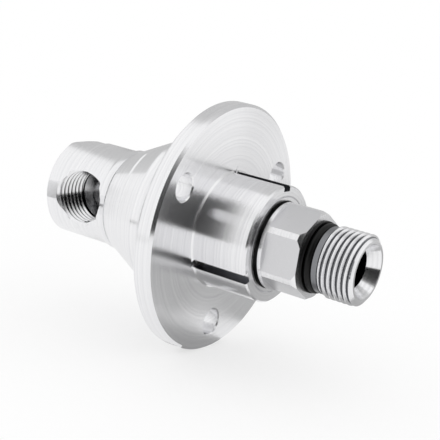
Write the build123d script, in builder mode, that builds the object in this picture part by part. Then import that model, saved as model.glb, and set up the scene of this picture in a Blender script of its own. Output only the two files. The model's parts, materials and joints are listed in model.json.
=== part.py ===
from build123d import *
import os
from math import asin, cos, degrees, radians, sin, tan

os.makedirs("parts", exist_ok=True)

# Hydraulic rotary union with a mounting flange, in millimetres.
# The turning axis is X. The origin is the centre of the flange's mounting face,
# the hub and the turning stud point to +X, and the side port points to -Y.

# Flange and hub
flange_radius = 40.0
flange_thickness = 6.3
flange_edge_chamfer = 0.9
hub_wall = 3.6
hub_length = 19.3
hub_edge_chamfer = 0.5
hub_base_relief = 0.5
bolt_circle_radius = 31.0
bolt_hole_radius = 4.25
bolt_hole_chamfer = 0.4
pattern_count = 3
slot_width = 3.5
slot_depth = 1.8
slot_root_x = 1.5
weep_hole_radius = 1.7

# Cone and tail behind the flange
cone_large_radius = 25.0
cone_small_radius = 17.3
cone_small_x = -35.3
cone_half_angle = 26.0
cone_base_relief = 0.9
tail_end_x = -36.5
tail_end_radius = 16.9
tail_edge_chamfer = 0.3
groove_x = -27.9
groove_width = 1.3
groove_depth = 0.45

# Port body
port_body_radius = 16.25
port_body_collar_height = 0.6
port_body_collar_length = 1.8
port_body_collar_taper = 1.7
port_body_end_x = -62.0
port_body_end_chamfer = 1.2
wrench_flats = 29.5
wrench_flat_length = 7.5
wrench_runout = 2.6
port_x = -47.5
port_thread_radius = 8.5
port_mouth_radius = 9.1
port_mouth_depth = 1.2
port_thread_depth = 13.5
port_flat_depth = 0.25
port_drill_depth = 3.0
flow_radius = 6.25
flow_blind_x = -50.0
spigot_radius = 12.97
spigot_clearance = 0.03
spigot_end_x = -22.8
seal_cup_radius = 10.8
seal_cup_floor_x = -31.0
body_ring_groove_x = -33.6
body_ring_groove_width = 2.2
body_ring_groove_radius = 11.4
body_ring_height = 1.5
body_ring_width = 1.8

# Bearings (17 x 30 x 7 class) and their seats
bearing_bore_radius = 8.5
bearing_outer_radius = 15.0
bearing_width = 7.0
ball_share = 0.305
ball_count = 8
race_share = 0.38
cage_share = 0.14
cage_width = 5.4
bearing_edge_chamfer = 0.3
rear_bearing_back_x = -12.0
front_bearing_back_x = 9.0
spacer_wall = 1.5
drain_hole_radius = 2.0

# Retaining rings
ring_thickness = 1.2
ring_groove_depth = 0.7
ring_radial_height = 2.0
ring_gap = 9.0
ring_eye_radius = 1.7
ring_eye_hole_radius = 0.7
ring_eye_inset = 1.0
shaft_ring_groove_depth = 0.5

# Bores of the flange housing
tail_bore_floor_x = -22.5
web_bore_clearance = 0.7
rear_shoulder_height = 1.8
chamber_floor_x = -17.0
hub_bore_chamfer = 0.4

# Turning stud
nose_radius = 8.0
nose_end_x = -28.0
journal_end_x = -14.4
neck_radius = 9.7
hex_back_x = 20.6
hex_length = 12.9
hex_across_flats = 25.0
hex_sides = 6
hex_corner_radius = 13.9
hex_shoulder_length = 1.2
hex_face_radius = 13.1
hex_chamfer_length = 1.3
seal_groove_radius = 8.5
seal_groove_length = 3.7
stud_collar_radius = 10.4
stud_collar_length = 1.7
relief_radius = 9.8
relief_length = 0.7
stud_thread_radius = 11.1
stud_end_x = 50.7
stud_chamfer_length = 1.2
stud_chamfer_height = 1.7
cone_mouth_radius = 8.5
seat_half_angle = 30.0

# Seals
stud_washer_thickness = 0.9
stud_washer_radius = 11.25
stud_ring_section_radius = 1.22
dust_case_wall = 1.0
dust_seal_thickness = 1.3
pressure_seal_length = 4.2
backup_ring_thickness = 1.4
energiser_section = 1.4

# Clearances
seat_clearance = 0.02
ball_clearance = 0.06
seal_clearance = 0.05
axial_clearance = 0.1

# Sizes that follow from the ones above
bearing_bore_seat = bearing_outer_radius + seat_clearance
bearing_section = bearing_outer_radius - bearing_bore_radius
ball_radius = ball_share * bearing_section
race_shoulder = race_share * ball_radius
cage_thickness = cage_share * bearing_section
ball_circle_radius = (bearing_bore_radius + bearing_outer_radius) / 2
inner_land_radius = ball_circle_radius - ball_radius + race_shoulder
outer_land_radius = ball_circle_radius + ball_radius - race_shoulder
hub_radius = bearing_outer_radius + hub_wall
port_body_collar_radius = port_body_radius + port_body_collar_height
slot_floor_radius = hub_radius - slot_depth
chamber_radius = bearing_outer_radius - rear_shoulder_height
tail_bore_radius = spigot_radius + spigot_clearance
web_bore_radius = nose_radius + web_bore_clearance
case_opening_radius = bearing_outer_radius - dust_case_wall
front_bearing_face_x = front_bearing_back_x + bearing_width
rear_bearing_face_x = rear_bearing_back_x + bearing_width
ring_seat_x = front_bearing_face_x
dust_seal_x = ring_seat_x + ring_thickness + 2 * axial_clearance
hex_front_x = hex_back_x + hex_length
collar_back_x = hex_front_x + seal_groove_length
relief_back_x = collar_back_x + stud_collar_length
thread_back_x = relief_back_x + relief_length
stud_tip_radius = stud_thread_radius - stud_chamfer_height
seat_depth = (cone_mouth_radius - flow_radius) / tan(radians(seat_half_angle))
cone_large_x = cone_small_x + (cone_large_radius - cone_small_radius) / tan(radians(cone_half_angle))
HALF_HEX_TURN = 180 / hex_sides
FIRST_HOLE_ANGLE = 30
SLOT_ANGLES = [index * 360 / pattern_count for index in range(pattern_count)]


def radial_plane(angle, distance):
    """Plane facing away from the axis; the angle runs from +Z towards +Y."""
    outward = Vector(0, sin(radians(angle)), cos(radians(angle)))
    return Plane(origin=(0, 0, 0), x_dir=(1, 0, 0), z_dir=tuple(outward)).offset(distance)


def cone_radius_at(x):
    """Radius of the housing's cone at a place along the axis."""
    return cone_small_radius + (x - cone_small_x) * tan(radians(cone_half_angle))


def save(piece, name):
    """Label a finished piece and write it to its own STEP file."""
    piece.label = name
    export_step(piece, f"parts/{name}.step")


# Flange housing: flange, hub with drain slots, cone and threaded tail in one piece
housing_outline = [
    (tail_end_x, tail_bore_radius),
    (tail_end_x, tail_end_radius - tail_edge_chamfer),
    (tail_end_x + tail_edge_chamfer, tail_end_radius),
    (cone_small_x, cone_small_radius),
    (cone_large_x, cone_large_radius),
    (-flange_thickness - cone_base_relief, cone_large_radius),
    (-flange_thickness, cone_large_radius + cone_base_relief),
    (-flange_thickness, flange_radius - flange_edge_chamfer),
    (-flange_thickness + flange_edge_chamfer, flange_radius),
    (-flange_edge_chamfer, flange_radius),
    (0, flange_radius - flange_edge_chamfer),
    (0, hub_radius + hub_base_relief),
    (hub_base_relief, hub_radius),
    (hub_length - hub_edge_chamfer, hub_radius),
    (hub_length, hub_radius - hub_edge_chamfer),
    (hub_length, bearing_bore_seat + hub_bore_chamfer),
    (hub_length - hub_bore_chamfer, bearing_bore_seat),
    (ring_seat_x + ring_thickness + axial_clearance, bearing_bore_seat),
    (ring_seat_x + ring_thickness + axial_clearance, bearing_bore_seat + ring_groove_depth),
    (ring_seat_x, bearing_bore_seat + ring_groove_depth),
    (ring_seat_x, bearing_bore_seat),
    (rear_bearing_back_x, bearing_bore_seat),
    (rear_bearing_back_x, chamber_radius),
    (chamber_floor_x, chamber_radius),
    (chamber_floor_x, web_bore_radius),
    (tail_bore_floor_x, web_bore_radius),
    (tail_bore_floor_x, tail_bore_radius),
]
with BuildPart() as flange_housing:
    with BuildSketch(Plane.XY):
        with BuildLine():
            Polyline(*housing_outline, close=True)
        make_face()
    revolve(axis=Axis.X)
    # Decorative line turned into the cone
    groove_radius = cone_radius_at(groove_x)
    groove_back_x = groove_x - groove_width / 2
    groove_front_x = groove_x + groove_width / 2
    with BuildSketch(Plane.XY):
        with BuildLine():
            Polyline(
                (groove_back_x, cone_radius_at(groove_back_x)),
                (groove_x, groove_radius - groove_depth),
                (groove_front_x, cone_radius_at(groove_front_x)),
                (groove_x, groove_radius + groove_depth),
                close=True,
            )
        make_face()
    revolve(axis=Axis.X, mode=Mode.SUBTRACT)
    # Bolt holes, midway between the slots
    with BuildSketch(Plane.YZ):
        with PolarLocations(bolt_circle_radius, pattern_count, start_angle=FIRST_HOLE_ANGLE):
            Circle(bolt_hole_radius)
    extrude(amount=-flange_thickness, mode=Mode.SUBTRACT)
    circles = flange_housing.edges().filter_by(GeomType.CIRCLE)
    hole_edges = [edge for edge in circles if edge.radius < bolt_hole_radius + bolt_hole_chamfer]
    chamfer(hole_edges, length=bolt_hole_chamfer)
    # Drain slots along the hub, each with a weep hole at its root
    for angle in SLOT_ANGLES:
        with BuildSketch(radial_plane(angle, slot_floor_radius)):
            with Locations((slot_root_x, 0)):
                Circle(slot_width / 2)
            with Locations((slot_root_x, 0)):
                Rectangle(hub_length, slot_width, align=(Align.MIN, Align.CENTER))
        extrude(amount=2 * slot_depth, mode=Mode.SUBTRACT)
        with BuildSketch(radial_plane(angle, chamber_radius)):
            with Locations((slot_root_x, 0)):
                Circle(weep_hole_radius)
        extrude(amount=slot_floor_radius - chamber_radius, mode=Mode.SUBTRACT)
save(flange_housing.part, "flange_housing")

# Port body: screwed into the tail, carries the side port and the seal cup
collar_start_x = tail_end_x - port_body_collar_length
body_outline = [
    (spigot_end_x, seal_cup_radius),
    (spigot_end_x, spigot_radius),
    (body_ring_groove_x + body_ring_groove_width / 2, spigot_radius),
    (body_ring_groove_x + body_ring_groove_width / 2, body_ring_groove_radius),
    (body_ring_groove_x - body_ring_groove_width / 2, body_ring_groove_radius),
    (body_ring_groove_x - body_ring_groove_width / 2, spigot_radius),
    (tail_end_x, spigot_radius),
    (tail_end_x, port_body_collar_radius),
    (collar_start_x, port_body_collar_radius),
    (collar_start_x - port_body_collar_taper, port_body_radius),
    (port_body_end_x + port_body_end_chamfer, port_body_radius),
    (port_body_end_x, port_body_radius - port_body_end_chamfer),
    (port_body_end_x, 0),
    (flow_blind_x, 0),
    (flow_blind_x, flow_radius),
    (seal_cup_floor_x, flow_radius),
    (seal_cup_floor_x, seal_cup_radius),
]
port_outline = [
    (port_x, -port_body_collar_radius),
    (port_x + port_mouth_radius, -port_body_collar_radius),
    (port_x + port_mouth_radius, -port_body_radius),
    (port_x + port_thread_radius, -port_body_radius + port_mouth_depth),
    (port_x + port_thread_radius, -port_body_radius + port_thread_depth),
    (port_x + flow_radius, -port_body_radius + port_thread_depth + port_thread_radius - flow_radius),
    (port_x + flow_radius, port_drill_depth),
    (port_x, port_drill_depth),
]
runout_end_x = port_body_end_x + wrench_flat_length + wrench_runout
flat_outline = [
    (port_body_end_x, wrench_flats / 2),
    (port_body_end_x + wrench_flat_length, wrench_flats / 2),
    (runout_end_x, port_body_radius),
    (runout_end_x, port_body_collar_radius),
    (port_body_end_x, port_body_collar_radius),
]
with BuildPart() as port_body:
    with BuildSketch(Plane.XY):
        with BuildLine():
            Polyline(*body_outline, close=True)
        make_face()
    revolve(axis=Axis.X)
    # Side port with its threaded bore and the drilled passage below it
    with BuildSketch(Plane.XY):
        with BuildLine():
            Polyline(*port_outline, close=True)
        make_face()
    revolve(axis=Axis((port_x, 0, 0), (0, 1, 0)), mode=Mode.SUBTRACT)
    # Two wrench flats, square to the port, with a sloped run-out
    with BuildSketch(Plane.XZ):
        with BuildLine():
            Polyline(*flat_outline, close=True)
        make_face()
        mirror(about=Plane.XY)
    extrude(amount=port_body_radius, both=True, mode=Mode.SUBTRACT)
    # Shallow flat from the rear end to the port
    with BuildSketch(Plane.XZ.offset(port_body_collar_radius)):
        with Locations((port_body_end_x, 0)):
            Rectangle(port_x - port_body_end_x, 2 * port_body_radius, align=(Align.MIN, Align.CENTER))
    extrude(amount=port_body_radius - port_flat_depth - port_body_collar_radius, mode=Mode.SUBTRACT)
save(port_body.part, "port_body")

# Turning stud: nose, journal, neck, hexagon and male thread end, bored through
stud_outline = [
    (nose_end_x, flow_radius),
    (nose_end_x, nose_radius - bearing_edge_chamfer),
    (nose_end_x + bearing_edge_chamfer, nose_radius),
    (journal_end_x, nose_radius),
    (journal_end_x, bearing_bore_radius),
    (rear_bearing_back_x - ring_thickness, bearing_bore_radius),
    (rear_bearing_back_x - ring_thickness, bearing_bore_radius - shaft_ring_groove_depth),
    (rear_bearing_back_x, bearing_bore_radius - shaft_ring_groove_depth),
    (rear_bearing_back_x, bearing_bore_radius),
    (front_bearing_face_x, bearing_bore_radius),
    (front_bearing_face_x, neck_radius),
    (hex_back_x, neck_radius),
    (hex_back_x, hex_corner_radius),
    (hex_front_x - hex_chamfer_length, hex_corner_radius),
    (hex_front_x, hex_face_radius),
    (hex_front_x, seal_groove_radius),
    (collar_back_x, seal_groove_radius),
    (collar_back_x, stud_collar_radius),
    (relief_back_x, stud_collar_radius),
    (relief_back_x, relief_radius),
    (thread_back_x, relief_radius),
    (thread_back_x, stud_thread_radius),
    (stud_end_x - stud_chamfer_length, stud_thread_radius),
    (stud_end_x, stud_tip_radius),
    (stud_end_x, cone_mouth_radius),
    (stud_end_x - seat_depth, flow_radius),
]
with BuildPart() as rotor_stud:
    with BuildSketch(Plane.XY):
        with BuildLine():
            Polyline(*stud_outline, close=True)
        make_face()
    revolve(axis=Axis.X)
    # Wrench flats cut from the round up to its shoulder, with corners towards +Z and -Z
    with BuildSketch(Plane.YZ.offset(hex_front_x)):
        Circle(hex_across_flats)
        RegularPolygon(hex_across_flats / 2, hex_sides, major_radius=False, rotation=HALF_HEX_TURN,
                       mode=Mode.SUBTRACT)
    extrude(amount=hex_shoulder_length - hex_length, mode=Mode.SUBTRACT)
save(rotor_stud.part, "rotor_stud")


def bearing(prefix, back_x):
    """One deep-groove ball bearing: two rings, balls and a cage with round pockets."""
    middle_x = back_x + bearing_width / 2
    groove_section = ball_radius + ball_clearance
    with BuildPart() as outer_ring:
        with BuildSketch(Plane.XY):
            with Locations((middle_x, (outer_land_radius + bearing_outer_radius) / 2)):
                Rectangle(bearing_width, bearing_outer_radius - outer_land_radius)
            chamfer(vertices().sort_by(Axis.Y)[-2:], length=bearing_edge_chamfer)
            with Locations((middle_x, ball_circle_radius)):
                Circle(groove_section, mode=Mode.SUBTRACT)
        revolve(axis=Axis.X)
    save(outer_ring.part, f"{prefix}_bearing_outer_ring")
    with BuildPart() as inner_ring:
        with BuildSketch(Plane.XY):
            with Locations((middle_x, (inner_land_radius + bearing_bore_radius + seat_clearance) / 2)):
                Rectangle(bearing_width, inner_land_radius - bearing_bore_radius - seat_clearance)
            chamfer(vertices().sort_by(Axis.Y)[:2], length=bearing_edge_chamfer)
            with Locations((middle_x, ball_circle_radius)):
                Circle(groove_section, mode=Mode.SUBTRACT)
        revolve(axis=Axis.X)
    save(inner_ring.part, f"{prefix}_bearing_inner_ring")
    with BuildPart() as balls:
        with Locations(Plane.YZ.offset(middle_x)):
            with PolarLocations(ball_circle_radius, ball_count):
                Sphere(ball_radius)
    save(balls.part, f"{prefix}_bearing_balls")
    with BuildPart() as cage:
        with BuildSketch(Plane.YZ.offset(middle_x - cage_width / 2)):
            Circle(ball_circle_radius + cage_thickness / 2)
            Circle(ball_circle_radius - cage_thickness / 2, mode=Mode.SUBTRACT)
        extrude(amount=cage_width)
        for index in range(ball_count):
            with BuildSketch(radial_plane(90 - index * 360 / ball_count, inner_land_radius)):
                with Locations((middle_x, 0)):
                    Circle(groove_section)
            extrude(amount=outer_land_radius - inner_land_radius, mode=Mode.SUBTRACT)
    save(cage.part, f"{prefix}_bearing_cage")


bearing("front", front_bearing_back_x)
bearing("rear", rear_bearing_back_x)

# Spacer sleeves that hold the two bearings apart
sleeve_length = front_bearing_back_x - rear_bearing_face_x
with BuildPart() as outer_spacer_sleeve:
    with BuildSketch(Plane.YZ.offset(rear_bearing_face_x)):
        Circle(bearing_outer_radius)
        Circle(bearing_outer_radius - spacer_wall, mode=Mode.SUBTRACT)
    extrude(amount=sleeve_length)
    for angle in SLOT_ANGLES:
        with BuildSketch(radial_plane(angle, bearing_outer_radius - 2 * spacer_wall)):
            with Locations((slot_root_x, 0)):
                Circle(drain_hole_radius)
        extrude(amount=3 * spacer_wall, mode=Mode.SUBTRACT)
save(outer_spacer_sleeve.part, "outer_spacer_sleeve")

with BuildPart() as inner_spacer_sleeve:
    with BuildSketch(Plane.YZ.offset(rear_bearing_face_x)):
        Circle(bearing_bore_radius + seat_clearance + spacer_wall)
        Circle(bearing_bore_radius + seat_clearance, mode=Mode.SUBTRACT)
    extrude(amount=sleeve_length)
save(inner_spacer_sleeve.part, "inner_spacer_sleeve")

# Internal retaining ring in the hub, with its gap and two plier eyes at the bottom
hub_ring_outer = bearing_bore_seat + ring_groove_depth - seat_clearance
hub_ring_inner = bearing_bore_seat - ring_radial_height
eye_circle = bearing_bore_seat - ring_eye_radius - axial_clearance
eye_angle = degrees(asin((ring_gap / 2 + ring_eye_inset) / eye_circle))
with BuildPart() as hub_retaining_ring:
    with BuildSketch(Plane.YZ.offset(ring_seat_x)):
        Circle(hub_ring_outer)
        Circle(hub_ring_inner, mode=Mode.SUBTRACT)
        with Locations((0, -hub_ring_outer)):
            Rectangle(ring_gap, 3 * ring_radial_height, mode=Mode.SUBTRACT)
        with PolarLocations(eye_circle, 2, start_angle=-90 - eye_angle, angular_range=4 * eye_angle):
            Circle(ring_eye_radius)
            Circle(ring_eye_hole_radius, mode=Mode.SUBTRACT)
    extrude(amount=ring_thickness)
save(hub_retaining_ring.part, "hub_retaining_ring")

# External retaining ring behind the rear bearing's inner ring
stud_ring_inner = bearing_bore_radius - shaft_ring_groove_depth + seat_clearance
stud_ring_outer = inner_land_radius
with BuildPart() as stud_retaining_ring:
    with BuildSketch(Plane.YZ.offset(rear_bearing_back_x - ring_thickness)):
        Circle(stud_ring_outer)
        Circle(stud_ring_inner, mode=Mode.SUBTRACT)
        with Locations((0, -stud_ring_outer)):
            Rectangle(ring_gap / 2, 2 * ring_radial_height, mode=Mode.SUBTRACT)
    extrude(amount=ring_thickness)
save(stud_retaining_ring.part, "stud_retaining_ring")

# Steel case pressed into the hub's mouth, flush with its face, and the rubber dust seal inside it
with BuildPart() as dust_seal_case:
    with BuildSketch(Plane.YZ.offset(dust_seal_x)):
        Circle(bearing_outer_radius)
        Circle(case_opening_radius, mode=Mode.SUBTRACT)
    extrude(amount=hub_length - dust_seal_x)
save(dust_seal_case.part, "dust_seal_case")

lip_radius = neck_radius + seal_clearance
dust_seal_outer = case_opening_radius - seat_clearance
with BuildPart() as dust_seal:
    with BuildSketch(Plane.XY):
        with BuildLine():
            Polyline(
                (dust_seal_x, dust_seal_outer),
                (dust_seal_x, lip_radius + dust_seal_thickness),
                (dust_seal_x + dust_seal_thickness / 2, lip_radius),
                (dust_seal_x + dust_seal_thickness, lip_radius),
                (dust_seal_x + dust_seal_thickness, dust_seal_outer),
                close=True,
            )
        make_face()
    revolve(axis=Axis.X)
save(dust_seal.part, "dust_seal")

# Pressure seal: U-section ring on the nose, with an O-ring inside and a backup ring
seal_outer_radius = seal_cup_radius - seat_clearance
seal_inner_radius = nose_radius + seal_clearance
seal_middle_radius = (seal_outer_radius + seal_inner_radius) / 2
backup_face_x = tail_bore_floor_x
seal_face_x = backup_face_x - backup_ring_thickness
seal_back_x = seal_face_x - pressure_seal_length
energiser_x = seal_back_x + energiser_section / 2 + seal_clearance
groove_half_width = energiser_section / 2 + seat_clearance
groove_floor_x = energiser_x + groove_half_width + seal_clearance
with BuildPart() as pressure_seal:
    with BuildSketch(Plane.XY):
        with BuildLine():
            Polyline(
                (seal_face_x, seal_inner_radius),
                (seal_face_x, seal_outer_radius),
                (seal_back_x, seal_outer_radius),
                (seal_back_x, seal_middle_radius + groove_half_width),
                (groove_floor_x, seal_middle_radius + groove_half_width),
                (groove_floor_x, seal_middle_radius - groove_half_width),
                (seal_back_x, seal_middle_radius - groove_half_width),
                (seal_back_x, seal_inner_radius),
                close=True,
            )
        make_face()
    revolve(axis=Axis.X)
save(pressure_seal.part, "pressure_seal")

with BuildPart() as seal_energiser_ring:
    with BuildSketch(Plane.XY):
        with Locations((energiser_x, seal_middle_radius)):
            Rectangle(energiser_section, energiser_section)
        chamfer(vertices(), length=energiser_section / 4)
    revolve(axis=Axis.X)
save(seal_energiser_ring.part, "seal_energiser_ring")

with BuildPart() as seal_backup_ring:
    with BuildSketch(Plane.YZ.offset(seal_face_x)):
        Circle(seal_outer_radius)
        Circle(seal_inner_radius + seal_clearance, mode=Mode.SUBTRACT)
    extrude(amount=backup_ring_thickness)
save(seal_backup_ring.part, "seal_backup_ring")

# O-ring that seals the port body's spigot in the tail
with BuildPart() as body_joint_ring:
    with BuildSketch(Plane.XY):
        with Locations((body_ring_groove_x, tail_bore_radius - body_ring_height / 2 - seat_clearance)):
            Rectangle(body_ring_width, body_ring_height)
        chamfer(vertices(), length=body_ring_height / 4)
    revolve(axis=Axis.X)
save(body_joint_ring.part, "body_joint_o_ring")

# Washer and O-ring in the undercut between the hexagon and the thread
with BuildPart() as stud_washer:
    with BuildSketch(Plane.YZ.offset(hex_front_x)):
        Circle(stud_washer_radius)
        Circle(seal_groove_radius + seat_clearance, mode=Mode.SUBTRACT)
    extrude(amount=stud_washer_thickness)
save(stud_washer.part, "stud_backup_washer")

with BuildPart() as stud_ring:
    with BuildSketch(Plane.XY):
        with Locations((
            hex_front_x + stud_washer_thickness + stud_ring_section_radius,
            seal_groove_radius + seat_clearance + stud_ring_section_radius,
        )):
            Circle(stud_ring_section_radius)
    revolve(axis=Axis.X)
save(stud_ring.part, "stud_o_ring")
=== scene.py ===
import json
from math import cos, hypot, pi, radians, sin

import bmesh
import bpy
from mathutils import Matrix, Vector


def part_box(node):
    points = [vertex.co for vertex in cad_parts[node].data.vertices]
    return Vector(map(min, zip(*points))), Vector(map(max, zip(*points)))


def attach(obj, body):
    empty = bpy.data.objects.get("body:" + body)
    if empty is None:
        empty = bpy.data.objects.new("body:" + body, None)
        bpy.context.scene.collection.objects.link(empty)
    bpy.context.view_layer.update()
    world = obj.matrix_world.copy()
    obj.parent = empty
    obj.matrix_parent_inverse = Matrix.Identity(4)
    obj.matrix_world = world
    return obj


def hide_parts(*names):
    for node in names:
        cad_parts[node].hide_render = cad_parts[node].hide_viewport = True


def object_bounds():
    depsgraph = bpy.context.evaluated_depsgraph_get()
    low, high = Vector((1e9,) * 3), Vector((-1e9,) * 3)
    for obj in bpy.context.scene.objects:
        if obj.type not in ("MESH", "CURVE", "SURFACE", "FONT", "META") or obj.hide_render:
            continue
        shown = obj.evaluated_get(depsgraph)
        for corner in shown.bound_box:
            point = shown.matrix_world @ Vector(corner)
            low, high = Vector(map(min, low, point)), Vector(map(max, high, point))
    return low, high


# Hydraulic rotary union: turned stainless housing, port body and hex stud, with black seals.
# Everything is in metres, in the frame of the solids: the stud turns about X.

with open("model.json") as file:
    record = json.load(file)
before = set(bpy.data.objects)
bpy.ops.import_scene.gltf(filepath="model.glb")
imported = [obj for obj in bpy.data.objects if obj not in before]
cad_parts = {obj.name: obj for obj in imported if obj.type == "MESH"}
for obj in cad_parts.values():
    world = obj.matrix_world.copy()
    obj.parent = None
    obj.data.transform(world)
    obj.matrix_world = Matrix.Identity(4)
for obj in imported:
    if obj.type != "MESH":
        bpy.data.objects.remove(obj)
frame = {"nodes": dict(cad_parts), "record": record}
solid_low, solid_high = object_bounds()
MM = 0.001
MERGE_DISTANCE = 1e-6
GLOSS_LOW, GLOSS_HIGH = 0.8, 1.2

# ---------------------------------------------------------------- helpers


def linear(code):
    """Linear colour of an sRGB hex code, with alpha 1."""
    channels = [int(code[start:start + 2], 16) / 255 for start in (0, 2, 4)]
    return [c / 12.92 if c <= 0.04045 else ((c + 0.055) / 1.055) ** 2.4 for c in channels] + [1.0]


def add_node(tree, kind, inputs=None, **settings):
    """A node with its settings; an input takes a value or a link from another node's socket."""
    made = tree.nodes.new(kind)
    for name, value in settings.items():
        setattr(made, name, value)
    for name, value in (inputs or {}).items():
        if isinstance(value, bpy.types.NodeSocket):
            tree.links.new(value, made.inputs[name])
        else:
            made.inputs[name].default_value = value
    return made


def new_material(name):
    """An empty material and its node tree."""
    material = bpy.data.materials.new(name)
    material.use_nodes = True
    material.node_tree.nodes.clear()
    return material, material.node_tree


def finish_material(tree, shader):
    """Joins the shader to the material's output."""
    add_node(tree, "ShaderNodeOutputMaterial", {"Surface": shader.outputs[0]})


# ---------------------------------------------------------------- materials


def turned_stainless(name, colour, band_colour, roughness, mark_pitch, mark_depth):
    """Bright-turned stainless steel.

    The lathe's fine rings round X stretch what the metal mirrors across them, and the feed
    leaves wider bands of slightly different brightness.
    """
    material, tree = new_material(name)
    place = add_node(tree, "ShaderNodeTexCoord").outputs["Object"]
    axes = add_node(tree, "ShaderNodeSeparateXYZ", {"Vector": place})
    flat = add_node(tree, "ShaderNodeCombineXYZ", {"X": axes.outputs["Y"], "Y": axes.outputs["Z"]})
    radius = add_node(tree, "ShaderNodeVectorMath", {0: flat.outputs[0]}, operation="LENGTH")
    travel = add_node(tree, "ShaderNodeMath", {0: axes.outputs["X"], 1: radius.outputs["Value"]},
                      operation="ADD")
    along = add_node(tree, "ShaderNodeCombineXYZ", {"X": travel.outputs[0]})
    rings = add_node(tree, "ShaderNodeTexNoise",
                     {"Vector": along.outputs[0], "Scale": 1 / (mark_pitch * MM), "Detail": 3.0})
    bump = add_node(tree, "ShaderNodeBump",
                    {"Height": rings.outputs["Fac"], "Distance": mark_depth * MM, "Strength": 0.6})
    uneven = add_node(tree, "ShaderNodeMapRange",
                      {"Value": rings.outputs["Fac"], "To Min": roughness * GLOSS_LOW,
                       "To Max": roughness * GLOSS_HIGH})
    bands = add_node(tree, "ShaderNodeTexNoise",
                     {"Vector": along.outputs[0], "Scale": 1 / (mark_pitch * 4 * MM), "Detail": 2.0})
    shade = add_node(tree, "ShaderNodeMapRange", {
        "Value": bands.outputs["Fac"], "From Min": 0.3, "From Max": 0.7})
    steel_colour = add_node(tree, "ShaderNodeMix", {
        "Factor": shade.outputs[0], 6: linear(colour), 7: linear(band_colour)}, data_type="RGBA")
    tangent = add_node(tree, "ShaderNodeTangent", direction_type="RADIAL", axis="X")
    shader = add_node(tree, "ShaderNodeBsdfPrincipled", {
        "Base Color": steel_colour.outputs[2], "Metallic": 1.0, "Roughness": uneven.outputs[0],
        "Anisotropic": 0.85, "Anisotropic Rotation": 0.25,
        "Normal": bump.outputs[0], "Tangent": tangent.outputs[0],
    })
    finish_material(tree, shader)
    return material


def plain_metal(name, colour, roughness, grain):
    """Ground or polished metal with a faint uneven gloss from its finishing grain."""
    material, tree = new_material(name)
    place = add_node(tree, "ShaderNodeTexCoord").outputs["Object"]
    noise = add_node(tree, "ShaderNodeTexNoise", {"Vector": place, "Scale": 1 / (grain * MM)})
    uneven = add_node(tree, "ShaderNodeMapRange",
                      {"Value": noise.outputs["Fac"], "To Min": roughness * GLOSS_LOW,
                       "To Max": roughness * GLOSS_HIGH})
    shader = add_node(tree, "ShaderNodeBsdfPrincipled", {
        "Base Color": linear(colour), "Metallic": 1.0, "Roughness": uneven.outputs[0]})
    finish_material(tree, shader)
    return material


def moulded(name, colour, roughness, grain, depth):
    """Moulded rubber or sintered plastic: no metal, a soft gloss and a fine grain."""
    material, tree = new_material(name)
    place = add_node(tree, "ShaderNodeTexCoord").outputs["Object"]
    noise = add_node(tree, "ShaderNodeTexNoise", {"Vector": place, "Scale": 1 / (grain * MM)})
    bump = add_node(tree, "ShaderNodeBump",
                    {"Height": noise.outputs["Fac"], "Distance": depth * MM, "Strength": 0.5})
    shader = add_node(tree, "ShaderNodeBsdfPrincipled", {
        "Base Color": linear(colour), "Roughness": roughness, "Specular IOR Level": 0.25,
        "Normal": bump.outputs[0]})
    finish_material(tree, shader)
    return material


SLOT_MATERIALS = {
    # Stainless steel turned on a lathe: bright, with fine rings and radial fans of light
    "turned_steel": turned_stainless("turned_stainless_steel", "F7F7F8", "EAEAEC", 0.22, 0.25, 0.0008),
    # Bearing steel after grinding: clean, grey and smooth
    "bearing_steel": plain_metal("ground_bearing_steel", "C9CACC", 0.18, 0.2),
    # Lapped chrome steel balls: a near mirror
    "ball_chrome": plain_metal("polished_ball_steel", "D8D9DB", 0.05, 0.5),
    # Brass sheet as pressed: warm yellow with a satin gloss
    "cage_brass": plain_metal("pressed_brass", "C9A35A", 0.3, 0.3),
    # Spring steel with a phosphate coat: dark grey and dull
    "spring_steel": plain_metal("phosphated_spring_steel", "57585A", 0.4, 0.2),
    # Moulded nitrile rubber: black, with hardly any gloss
    "black_rubber": moulded("moulded_nitrile_rubber", "060606", 0.45, 0.15, 0.01),
    # Machined PTFE: off-white and waxy
    "white_ptfe": moulded("machined_ptfe", "ECEBE6", 0.45, 0.3, 0.01),
}
# Stainless steel cut by a milling cutter: flat and even, with no rings
MILLED = plain_metal("milled_stainless_steel", "D6D6D8", 0.3, 0.4)
# The same steel planed more finely, so that it mirrors more sharply
PLANED = plain_metal("planed_stainless_flat", "E6E6E8", 0.16, 0.6)
# Thread roots and the collar beside them, cut steel with painted shade: mid grey
THREAD_ROOT_SHADE = plain_metal("thread_root_painted_shade", "8A8B8E", 0.35, 0.3)
# Sawn slot wall, dull, with painted shade: dark grey
SLOT_WALL_SHADE = plain_metal("sawn_slot_painted_shade", "55565A", 0.4, 0.3)
# Drilled bores, with painted shade: nearly black
BORE_SHADE = plain_metal("bore_painted_shade", "16171A", 0.45, 0.3)
for entry in frame["record"]["subparts"]:
    mesh = frame["nodes"][entry["node"]].data
    mesh.materials.clear()
    mesh.materials.append(SLOT_MATERIALS[entry["material_slot"]])

# ---------------------------------------------------------------- threads


THREAD_LEVEL_SHARE = 0.14
END_ROW_SHARE = 0.0001


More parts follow.
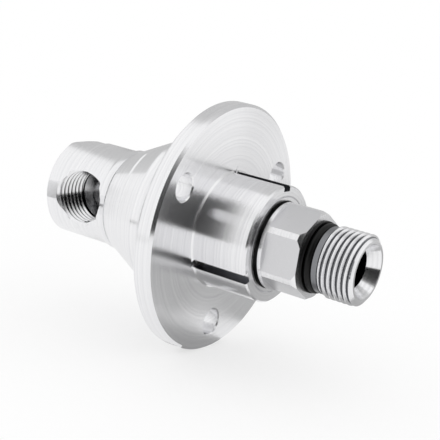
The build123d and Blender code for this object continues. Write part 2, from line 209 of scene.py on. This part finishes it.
def thread_tree():
    """Geometry tree of a tube along X whose wall has a screw thread; it is a cutter or a core.

    The ridge goes between Crest and Root once in each Pitch and stays level for a short share of
    it at both, and Wall is the radius of the tube's plain other face.
    """
    tree = bpy.data.node_groups.new("screw_thread", "GeometryNodeTree")
    face = tree.interface
    for name, kind in (("Start", "NodeSocketFloat"), ("Length", "NodeSocketFloat"),
                       ("Pitch", "NodeSocketFloat"), ("Crest", "NodeSocketFloat"),
                       ("Root", "NodeSocketFloat"), ("Wall", "NodeSocketFloat"),
                       ("Around", "NodeSocketInt"), ("Along", "NodeSocketInt"),
                       ("Finish", "NodeSocketMaterial")):
        face.new_socket(name, in_out="INPUT", socket_type=kind)
    face.new_socket("Geometry", in_out="OUTPUT", socket_type="NodeSocketGeometry")
    given = add_node(tree, "NodeGroupInput").outputs

    def maths(operation, first, second=0.0, **settings):
        made = add_node(tree, "ShaderNodeMath", {0: first, 1: second}, operation=operation, **settings)
        return made.outputs[0]

    grid = add_node(tree, "GeometryNodeMeshGrid", {
        "Size X": 1.0, "Size Y": 1.0, "Vertices X": given["Along"], "Vertices Y": given["Around"]})
    place = add_node(tree, "GeometryNodeInputPosition").outputs[0]
    parts = add_node(tree, "ShaderNodeSeparateXYZ", {"Vector": place})
    along = maths("ADD", parts.outputs["X"], 0.5)
    turn = maths("ADD", parts.outputs["Y"], 0.5)
    # The first and last rows of the grid fold in to the plain wall and close the tube's ends
    first = maths("LESS_THAN", along, END_ROW_SHARE)
    last = maths("GREATER_THAN", along, 1 - END_ROW_SHARE)
    end = maths("ADD", first, last)
    x = maths("ADD", given["Start"], maths("MULTIPLY", along, given["Length"]))
    lead = maths("SUBTRACT", maths("DIVIDE", x, given["Pitch"]), turn)
    phase = maths("FRACT", lead)
    slope = maths("MULTIPLY", maths("ABSOLUTE", maths("SUBTRACT", phase, 0.5)), 2.0)
    rise = maths("SUBTRACT", slope, THREAD_LEVEL_SHARE)
    ridge = maths("MULTIPLY", rise, 1 / (1 - 2 * THREAD_LEVEL_SHARE), use_clamp=True)
    height = maths("MULTIPLY", maths("SUBTRACT", given["Crest"], given["Root"]), ridge)
    radius = maths("ADD", given["Root"], height)
    to_wall = maths("MULTIPLY", maths("SUBTRACT", given["Wall"], radius), end)
    radius = maths("ADD", radius, to_wall)
    angle = maths("MULTIPLY", turn, 2 * pi)
    moved = add_node(tree, "ShaderNodeCombineXYZ", {
        "X": x, "Y": maths("MULTIPLY", radius, maths("SINE", angle)),
        "Z": maths("MULTIPLY", radius, maths("COSINE", angle))})
    shaped = add_node(tree, "GeometryNodeSetPosition",
                      {"Geometry": grid.outputs["Mesh"], "Position": moved.outputs[0]})
    merged = add_node(tree, "GeometryNodeMergeByDistance",
                      {"Geometry": shaped.outputs[0], "Distance": MERGE_DISTANCE})
    realised = add_node(tree, "GeometryNodeRealizeInstances", {"Geometry": merged.outputs[0]})
    finished = add_node(tree, "GeometryNodeSetMaterial",
                        {"Geometry": realised.outputs[0], "Material": given["Finish"]})
    add_node(tree, "NodeGroupOutput", {"Geometry": finished.outputs[0]})
    return tree


THREAD_TREE = thread_tree()


def thread_mesh(name, **sizes):
    """Plain mesh that the thread tree gives for these sizes."""
    holder = bpy.data.objects.new(name, bpy.data.meshes.new(name))
    bpy.context.collection.objects.link(holder)
    modifier = holder.modifiers.new("thread", "NODES")
    modifier.node_group = THREAD_TREE
    for socket in THREAD_TREE.interface.items_tree:
        if socket.in_out == "INPUT":
            modifier[socket.identifier] = sizes[socket.name]
    evaluated = holder.evaluated_get(bpy.context.evaluated_depsgraph_get())
    shape = bpy.data.meshes.new_from_object(evaluated)
    bpy.data.objects.remove(holder)
    return shape


def close_ends(shape):
    """Fills the open rings at a tube's ends and points its faces outwards."""
    edit = bmesh.new()
    edit.from_mesh(shape)
    bmesh.ops.remove_doubles(edit, verts=edit.verts, dist=MERGE_DISTANCE)
    bmesh.ops.holes_fill(edit, edges=edit.edges, sides=0)
    bmesh.ops.recalc_face_normals(edit, faces=edit.faces)
    edit.to_mesh(shape)
    edit.free()


def copy_of(node, name):
    """A merged copy of a solid, ready to be cut."""
    shape = frame["nodes"][node].data.copy()
    shape.name = name
    if "custom_normal" in shape.attributes:
        shape.attributes.remove(shape.attributes["custom_normal"])
    edit = bmesh.new()
    edit.from_mesh(shape)
    bmesh.ops.remove_doubles(edit, verts=edit.verts, dist=MERGE_DISTANCE)
    edit.to_mesh(shape)
    edit.free()
    piece = bpy.data.objects.new(name, shape)
    bpy.context.collection.objects.link(piece)
    return piece


def cut(piece, cutter_mesh):
    """Takes the cutter out of the piece and leaves a plain mesh with sharp edges marked."""
    cutter = bpy.data.objects.new("cutter", cutter_mesh)
    bpy.context.collection.objects.link(cutter)
    modifier = piece.modifiers.new("cut", "BOOLEAN")
    modifier.object = cutter
    modifier.operation = "DIFFERENCE"
    modifier.solver = "EXACT"
    evaluated = piece.evaluated_get(bpy.context.evaluated_depsgraph_get())
    result = bpy.data.meshes.new_from_object(evaluated)
    piece.modifiers.clear()
    result.name = piece.data.name
    piece.data = result
    bpy.data.objects.remove(cutter)
    smooth(result)


def finish_faces(piece, finish, picked):
    """Gives the finish to the faces whose middle and normal pass the test, with crisp edges."""
    shape = piece.data
    shape.materials.append(finish)
    index = len(shape.materials) - 1
    sides = {}
    for face in shape.polygons:
        chosen = bool(picked(face.center / MM, face.normal))
        if chosen:
            face.material_index = index
        for key in face.edge_keys:
            sides.setdefault(key, set()).add(chosen)
    for edge in shape.edges:
        if len(sides[edge.key]) == 2:
            edge.use_edge_sharp = True


def lathe_mesh(name, outline, steps=144):
    """Closed turned shape round X, from (x, radius) points in millimetres that end on the axis."""
    shape = bpy.data.meshes.new(name)
    edit = bmesh.new()
    rings = []
    for x, radius in outline:
        if radius == 0:
            rings.append([edit.verts.new((x * MM, 0, 0))])
            continue
        turns = [2 * pi * step / steps for step in range(steps)]
        rings.append([edit.verts.new((x * MM, radius * MM * sin(turn), radius * MM * cos(turn)))
                      for turn in turns])
    for near, far in zip(rings, rings[1:]):
        for step in range(steps):
            corners = [near[step % len(near)], near[(step + 1) % steps % len(near)],
                       far[(step + 1) % steps % len(far)], far[step % len(far)]]
            edit.faces.new(list(dict.fromkeys(corners)))
    bmesh.ops.recalc_face_normals(edit, faces=edit.faces)
    edit.to_mesh(shape)
    edit.free()
    return shape


def smooth(shape, angle=20):
    """Shades the faces smoothly and keeps edges above the angle, in degrees, sharp."""
    shape.polygons.foreach_set("use_smooth", [True] * len(shape.polygons))
    shape.set_sharp_from_angle(angle=radians(angle))


def close_wall(shape):
    """Joins the two end rings of a threaded sleeve by a plain outer wall."""
    edit = bmesh.new()
    edit.from_mesh(shape)
    ends = [edge for edge in edit.edges if edge.is_boundary]
    bmesh.ops.bridge_loops(edit, edges=ends)
    bmesh.ops.recalc_face_normals(edit, faces=edit.faces)
    edit.to_mesh(shape)
    edit.free()


# Threads of 14 turns to the inch, cut with a small clearance
PITCH = 25.4 / 14
CUT_CLEARANCE = 0.03
AROUND = 121

# Male thread
STUD_CREST = 11.1
STUD_ROOT = 9.98
THREAD_LENGTH = 11.1
RUN_IN = 0.3
CUTTER_LENGTH = 12.5
CUTTER_WALL = 13
CUTTER_ROWS = 331
COLLAR_START = 37.25
THREAD_END = 50
ROOT_BAND = (9.5, 10.45)

# Seat and end of the stud's bore
SEAT_MOUTH_RADIUS = 8.53
SEAT_DEPTH = 3.88
BORE_RADIUS = 6.29
BORE_CUT_DEPTH = 12

# Hexagon
HEX_SPAN = (21, 34)
HEX_FLAT_BAND = (12.4, 12.6)

# Drain slots of the hub
SLOT_SPAN = (1, 19.2)
SLOT_BAND = (16.7, 18.5)

# Port thread and the body round it
PORT_CREST = 8.5
PORT_ROOT = 9.45
CORE_LENGTH = 14.5
CORE_START_Y = -17.4
CORE_ROWS = 301
INSIDE_RADIUS = 9.5
INSIDE_LIMIT = 15.2
PASSAGE_END_Y = -2
PORT_FLOOR_Y = -13
FLAT_Y = -15.5
WRENCH_FLAT_X = -54
PORT_CLEAR_RADIUS = 10

stud_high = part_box("rotor_stud")[1]
steel = SLOT_MATERIALS["turned_steel"]
mounts = {mount["name"]: mount for mount in frame["record"]["mounts"]}
port_x = mounts["inlet_port"]["pos_m"][0]
port_mm = port_x / MM


def on_hex_flat(spot, normal):
    """Whether a face lies on one of the hexagon's flats."""
    level, limit = HEX_FLAT_BAND
    return (HEX_SPAN[0] < spot.x < HEX_SPAN[1] and abs(normal.x) < 0.3
            and spot.yz.dot(normal.yz) < limit and spot.yz.length > level)


def in_stud_bore(spot, normal):
    """Whether a face is on the wall of the stud's bore."""
    return spot.yz.length < BORE_RADIUS + 0.01 and abs(normal.x) < 0.2


def in_thread_root(spot, normal):
    """Whether a face is low on the male thread, or on the collar beside it."""
    return COLLAR_START < spot.x < THREAD_END and ROOT_BAND[0] < spot.yz.length < ROOT_BAND[1]


def on_slot_wall(spot, normal):
    """Whether a face is on the side wall of one of the hub's slots."""
    return (SLOT_SPAN[0] < spot.x < SLOT_SPAN[1] and SLOT_BAND[0] < spot.yz.length < SLOT_BAND[1]
            and abs(spot.yz.normalized().dot(normal.yz)) < 0.5 and abs(normal.x) < 0.99)


def in_port(spot, normal):
    """Whether a face is in the port: its roots, its inner flanks, its far wall and its floor."""
    across = spot.x - port_mm
    faces_in = across * normal.x + spot.z * normal.z < 0
    on_floor = normal.y < -0.5 and spot.y > PORT_FLOOR_Y
    return (spot.y < PASSAGE_END_Y and hypot(across, spot.z) < INSIDE_RADIUS
            and (across > 0 or normal.y > -0.3) and spot.yz.length < INSIDE_LIMIT
            and (faces_in or on_floor))


def on_body_flat(spot, normal):
    """Whether a face is on the flat beside the port or on a wrench flat."""
    beside_port = normal.y < -0.98 and spot.y < FLAT_Y
    clear = hypot(spot.x - port_mm, spot.z) > PORT_CLEAR_RADIUS
    return beside_port or abs(normal.z) > 0.98 and spot.x < WRENCH_FLAT_X and clear


# Male thread: a threaded collar is taken off the stud's end
cutter = thread_mesh("male_cutter", Start=stud_high.x - (THREAD_LENGTH + RUN_IN) * MM,
                     Length=CUTTER_LENGTH * MM, Pitch=PITCH * MM,
                     Crest=(STUD_CREST + CUT_CLEARANCE) * MM, Root=STUD_ROOT * MM,
                     Wall=CUTTER_WALL * MM, Around=AROUND, Along=CUTTER_ROWS, Finish=steel)
close_wall(cutter)
stud = copy_of("rotor_stud", "hex_stud_with_thread")
cut(stud, cutter)
# The seat and the bore's end are turned out a hair wider, with fine smooth walls
stud_end = stud_high.x / MM
cut(stud, lathe_mesh("seat_cutter", [
    (stud_end + 1, 0), (stud_end + 1, SEAT_MOUTH_RADIUS), (stud_end, SEAT_MOUTH_RADIUS),
    (stud_end - SEAT_DEPTH, BORE_RADIUS), (stud_end - BORE_CUT_DEPTH, BORE_RADIUS),
    (stud_end - BORE_CUT_DEPTH, 0)]))
finish_faces(stud, MILLED, on_hex_flat)
# Painted shade on the stud's bore wall: nearly black
finish_faces(stud, BORE_SHADE, in_stud_bore)
# Painted shade on the thread's roots and the collar: mid grey
finish_faces(stud, THREAD_ROOT_SHADE, in_thread_root)
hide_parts("rotor_stud")
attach(stud, "rotor")

# The housing's drain slots have dull sawn walls, with painted shade
flange = copy_of("flange_housing", "turned_flange_housing")
smooth(flange.data)
# Painted shade on the slot walls: dark grey
finish_faces(flange, SLOT_WALL_SHADE, on_slot_wall)
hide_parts("flange_housing")
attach(flange, "housing")

# Female thread: a threaded core is taken out of the port's bore
core_radius = (PORT_CREST - CUT_CLEARANCE) * MM
core = thread_mesh("port_core", Start=0.0, Length=CORE_LENGTH * MM, Pitch=PITCH * MM,
                   Crest=core_radius, Root=PORT_ROOT * MM, Wall=core_radius,
                   Around=AROUND, Along=CORE_ROWS, Finish=steel)
close_ends(core)
# The core is made along X and turned to point along the port, which opens to -Y
quarter_turn = Matrix.Rotation(pi / 2, 4, "Z")
core.transform(Matrix.Translation(Vector((port_x, CORE_START_Y * MM, 0))) @ quarter_turn)
port = copy_of("port_body", "port_body_with_thread")
cut(port, core)
# Painted shade in the port, on its roots, inner flanks, far wall and floor: nearly black
finish_faces(port, BORE_SHADE, in_port)
finish_faces(port, PLANED, on_body_flat)
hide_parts("port_body")
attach(port, "housing")

# ---------------------------------------------------------------- camera, light and floor

CAMERA_PLACE = Vector((0.18932, -0.31321, 0.08321))
CAMERA_AZIMUTH = radians(31.513)
CAMERA_ELEVATION = radians(12.433)
CAMERA_ROLL = radians(-9.138)
CAMERA_LENS = 97.09
CAMERA_SENSOR = 36
back = Vector((sin(CAMERA_AZIMUTH) * cos(CAMERA_ELEVATION),
               -cos(CAMERA_AZIMUTH) * cos(CAMERA_ELEVATION), sin(CAMERA_ELEVATION)))
level_up = (Vector((0, 0, 1)) - back * back.z).normalized()
level_right = level_up.cross(back)
up = level_up * cos(CAMERA_ROLL) + level_right * sin(CAMERA_ROLL)
right = up.cross(back)
camera = bpy.data.objects.new("camera", bpy.data.cameras.new("camera"))
bpy.context.collection.objects.link(camera)
camera.data.sensor_width = CAMERA_SENSOR
camera.data.lens = CAMERA_LENS
camera.data.clip_start = 0.01
camera.data.clip_end = 10
turn = Matrix((right, up, back)).transposed().to_4x4()
camera.matrix_world = Matrix.Translation(CAMERA_PLACE) @ turn
bpy.context.scene.camera = camera

world = bpy.data.worlds.new("studio")
world.use_nodes = True
tree = world.node_tree
tree.nodes.clear()
light = add_node(tree, "ShaderNodeBackground", {"Color": linear("FFFFFF"), "Strength": 1.0})
add_node(tree, "ShaderNodeOutputWorld", {"Surface": light.outputs[0]})
bpy.context.scene.world = world
bpy.context.scene.view_settings.view_transform = "Standard"

FLOOR_REACH = 3.0
FLOOR_GAP = 0.0002
FLOOR_GLOW_SHARE = 0.6
floor_z = solid_low.z - FLOOR_GAP
floor_mesh = bpy.data.meshes.new("floor")
floor_mesh.from_pydata([(-FLOOR_REACH, -FLOOR_REACH, floor_z), (FLOOR_REACH, -FLOOR_REACH, floor_z),
                        (FLOOR_REACH, FLOOR_REACH, floor_z), (-FLOOR_REACH, FLOOR_REACH, floor_z)],
                       [], [(0, 1, 2, 3)])
floor = bpy.data.objects.new("floor", floor_mesh)
bpy.context.collection.objects.link(floor)
# White paper, lit evenly, that keeps a faint shadow of the union
paper, tree = new_material("white_paper")
diffuse = add_node(tree, "ShaderNodeBsdfDiffuse", {"Color": linear("FFFFFF")})
path = add_node(tree, "ShaderNodeLightPath")
shown = add_node(tree, "ShaderNodeMath", {0: path.outputs["Is Camera Ray"],
                                          1: path.outputs["Is Glossy Ray"]}, operation="MAXIMUM")
shown = add_node(tree, "ShaderNodeMath", {0: shown.outputs[0],
                                          1: path.outputs["Is Transmission Ray"]}, operation="MAXIMUM")
share = add_node(tree, "ShaderNodeMath", {0: shown.outputs[0], 1: FLOOR_GLOW_SHARE}, operation="MULTIPLY")
glow = add_node(tree, "ShaderNodeEmission", {"Color": linear("FFFFFF"), "Strength": 1.0})
shader = add_node(tree, "ShaderNodeMixShader", {
    0: share.outputs[0], 1: diffuse.outputs[0], 2: glow.outputs[0]})
finish_material(tree, shader)
floor_mesh.materials.append(paper)

CARD_LIFT = 0.0005
COVE_RADIUS = 0.42
COVE_ENDS = (-1.2, 0.25)
SCREEN_RADIUS = 0.32
SCREEN_COLUMNS = 10
SCREEN_ROWS = 8
STRIP_ENDS = (0.035, 0.3)


def studio_card(name, corners, faces, colour):
    """A card beside the set that only the metal mirrors; the view and the floor don't show it."""
    shape = bpy.data.meshes.new(name)
    shape.from_pydata(corners, [], faces)
    card = bpy.data.objects.new(name, shape)
    bpy.context.collection.objects.link(card)
    for ray in ("camera", "diffuse", "shadow", "transmission", "volume_scatter"):
        setattr(card, "visible_" + ray, False)
    finish, tree = new_material(name)
    finish_material(tree, add_node(tree, "ShaderNodeEmission",
                                   {"Color": linear(colour), "Strength": 1.0}))
    shape.materials.append(finish)


def table_card(name, low, high, lift, colour):
    """A rectangular card on the table between two corners."""
    z = floor_z + lift
    studio_card(name, [(low[0], low[1], z), (high[0], low[1], z),
                       (high[0], high[1], z), (low[0], high[1], z)], [(0, 1, 2, 3)], colour)


def arc_strip(angles, near, far):
    """Corners and faces of a bent strip: near and far give its two edges' places at an angle."""
    corners = [near(angle) for angle in angles] + [far(angle) for angle in angles]
    count = len(angles)
    faces = [(i, i + 1, count + i + 1, count + i) for i in range(count - 1)]
    return corners, faces


# A grey cove behind the union gives its round pieces the grey band along their tops
studio_card("grey_cove", *arc_strip(
    [radians(-1 + 7 * step) for step in range(12)],
    lambda angle: (COVE_ENDS[0], COVE_RADIUS * cos(angle), COVE_RADIUS * sin(angle)),
    lambda angle: (COVE_ENDS[1], COVE_RADIUS * cos(angle), COVE_RADIUS * sin(angle))), "CCCCCC")
# A dark screen at the camera's side is what the corner of the flange and the hub mirrors
screen_turns = [radians(-84 + 7 * step) for step in range(SCREEN_COLUMNS)]
screen_rises = [radians(-14 + 10 * step) for step in range(SCREEN_ROWS)]
screen_corners = [(SCREEN_RADIUS * cos(rise) * cos(turn), SCREEN_RADIUS * cos(rise) * sin(turn),
                   max(SCREEN_RADIUS * sin(rise), floor_z))
                  for rise in screen_rises for turn in screen_turns]
screen_starts = [row * SCREEN_COLUMNS + column for row in range(SCREEN_ROWS - 1)
                 for column in range(SCREEN_COLUMNS - 1)]
screen_faces = [(start, start + 1, start + SCREEN_COLUMNS + 1, start + SCREEN_COLUMNS)
                for start in screen_starts]
studio_card("camera_side_screen", screen_corners, screen_faces, "0C0C0C")
# A grey strip low behind gives the turned faces their lower shade
studio_card("low_grey_strip", *arc_strip(
    [radians(10 + 8 * step) for step in range(13)],
    lambda angle: (STRIP_ENDS[0] * cos(angle), STRIP_ENDS[0] * sin(angle), floor_z + CARD_LIFT),
    lambda angle: (STRIP_ENDS[1] * cos(angle), STRIP_ENDS[1] * sin(angle), floor_z + CARD_LIFT)),
    "B4B4B4")
# The hub's underside mirrors the grey card below it
table_card("table_shade", (-0.01, -0.012), (0.03, 0.012), 0.8 * CARD_LIFT, "9A9A9A")
# A small dark card on the table is what the flat beside the port mirrors
table_card("port_flat_card", (-0.172, -0.178), (-0.118, -0.135), CARD_LIFT, "1C1C1C")
